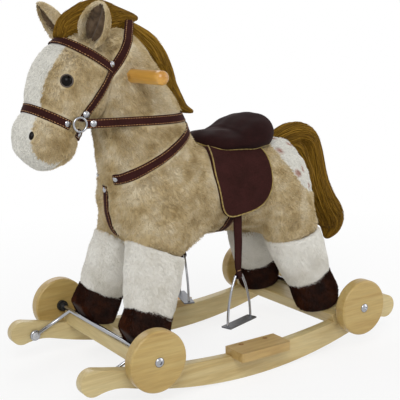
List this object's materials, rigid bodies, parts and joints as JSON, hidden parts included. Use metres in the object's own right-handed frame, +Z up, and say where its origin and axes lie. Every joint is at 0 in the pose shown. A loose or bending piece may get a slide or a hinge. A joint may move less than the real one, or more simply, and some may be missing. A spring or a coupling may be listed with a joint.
{
  "type": "plush rocking horse with fold-over wheels",
  "caption": "Plush ride-on rocking horse with saddle, bridle and swinging stirrups, on curved pine rockers with wheeled axles that fold over to turn it into a rolling toy.",
  "frame": {"origin": "on the floor, under the middle of the whole toy, between the rockers", "axes": "+X towards the horse's nose, +Y to the horse's left, +Z up"},
  "size_m": [0.6788, 0.382, 0.6318],
  "materials": {
    "pine": "lacquered satin",
    "wheel_pine": "lacquered satin",
    "frame_pine": "raw",
    "varnished_beech": "gloss varnish",
    "chrome": "polished",
    "zinc_steel": "zinc plated",
    "grey_steel": "brushed",
    "yellow_zinc": "zinc plated",
    "black_plastic": "moulded",
    "tan_plush": "short pile plush",
    "white_plush": "short pile plush",
    "dark_plush": "short pile plush",
    "brown_hair": "long pile plush",
    "ear_lining": "short pile plush",
    "glossy_black": "polished",
    "suede": "faux suede"
  },
  "bodies": {
    "horse": {"rocker_left": "pine", "rocker_right": "pine", "front_crossbar": "pine", "rear_crossbar": "pine", "footrest_left": "pine", "footrest_right": "pine", "crossbar_bolts": "zinc_steel", "footrest_screws": "yellow_zinc", "pivot_screws": "zinc_steel", "leg_bolts": "zinc_steel", "spine_board": "frame_pine", "leg_posts": "frame_pine", "neck_post": "frame_pine", "handle": "varnished_beech", "torso": "tan_plush", "neck": "tan_plush", "head": "tan_plush", "ear_left": "tan_plush", "ear_right": "tan_plush", "ear_linings": "ear_lining", "eyes": "glossy_black", "nostrils": "glossy_black", "mane": "brown_hair", "forelock": "brown_hair", "tail": "brown_hair", "stocking_front_left": "white_plush", "stocking_front_right": "white_plush", "stocking_rear_left": "white_plush", "stocking_rear_right": "white_plush", "hoof_front_left": "dark_plush", "hoof_front_right": "dark_plush", "hoof_rear_left": "dark_plush", "hoof_rear_right": "dark_plush", "saddle_seat": "suede", "saddle_flap_left": "suede", "saddle_flap_right": "suede", "girth": "suede", "browband": "suede", "headstall": "suede", "noseband": "suede", "reins": "suede", "breast_strap": "suede", "bit_rings": "chrome", "tack_rivets": "chrome"},
    "front_axle_arm": {"front_axle": "chrome", "front_bushes": "black_plastic", "front_axle_screws": "chrome"},
    "rear_axle_arm": {"rear_axle": "chrome", "rear_bushes": "black_plastic", "rear_axle_screws": "chrome"},
    "front_left_wheel": {"wheel_front_left": "wheel_pine"},
    "front_right_wheel": {"wheel_front_right": "wheel_pine"},
    "rear_left_wheel": {"wheel_rear_left": "wheel_pine"},
    "rear_right_wheel": {"wheel_rear_right": "wheel_pine"},
    "left_leather": {"leather_left": "suede"},
    "right_leather": {"leather_right": "suede"},
    "left_stirrup": {"stirrup_left": "chrome", "tread_left": "grey_steel"},
    "right_stirrup": {"stirrup_right": "chrome", "tread_right": "grey_steel"}
  },
  "joints": [
    {"name": "front_axle_fold", "type": "hinge", "parent": "horse", "child": "front_axle_arm", "pos_m": [0.27358, 0, 0.053], "axis": [0, 1, 0], "range_deg": [0, 313.6]},
    {"name": "rear_axle_fold", "type": "hinge", "parent": "horse", "child": "rear_axle_arm", "pos_m": [-0.29642, 0, 0.053], "axis": [0, -1, 0], "range_deg": [0, 313.6]},
    {"name": "front_left_wheel_spin", "type": "hinge", "parent": "front_axle_arm", "child": "front_left_wheel", "pos_m": [0.20229, 0.176, 0.08499], "axis": [0, 1, 0], "continuous": true},
    {"name": "front_right_wheel_spin", "type": "hinge", "parent": "front_axle_arm", "child": "front_right_wheel", "pos_m": [0.20229, -0.176, 0.08499], "axis": [0, 1, 0], "continuous": true},
    {"name": "rear_left_wheel_spin", "type": "hinge", "parent": "rear_axle_arm", "child": "rear_left_wheel", "pos_m": [-0.22513, 0.176, 0.08499], "axis": [0, 1, 0], "continuous": true},
    {"name": "rear_right_wheel_spin", "type": "hinge", "parent": "rear_axle_arm", "child": "rear_right_wheel", "pos_m": [-0.22513, -0.176, 0.08499], "axis": [0, 1, 0], "continuous": true},
    {"name": "left_leather_swing", "type": "hinge", "parent": "horse", "child": "left_leather", "pos_m": [-0.01942, 0.0894, 0.272], "axis": [0, 1, 0], "range_deg": [-20, 20]},
    {"name": "right_leather_swing", "type": "hinge", "parent": "horse", "child": "right_leather", "pos_m": [-0.01942, -0.0894, 0.272], "axis": [0, 1, 0], "range_deg": [-20, 20]},
    {"name": "left_stirrup_swing", "type": "hinge", "parent": "left_leather", "child": "left_stirrup", "pos_m": [-0.01942, 0.0894, 0.16], "axis": [0.9511, 0.309, 0], "range_deg": [-30, 30]},
    {"name": "right_stirrup_swing", "type": "hinge", "parent": "right_leather", "child": "right_stirrup", "pos_m": [-0.01942, -0.0894, 0.16], "axis": [0.309, 0.9511, 0], "range_deg": [-30, 30]}
  ]
}
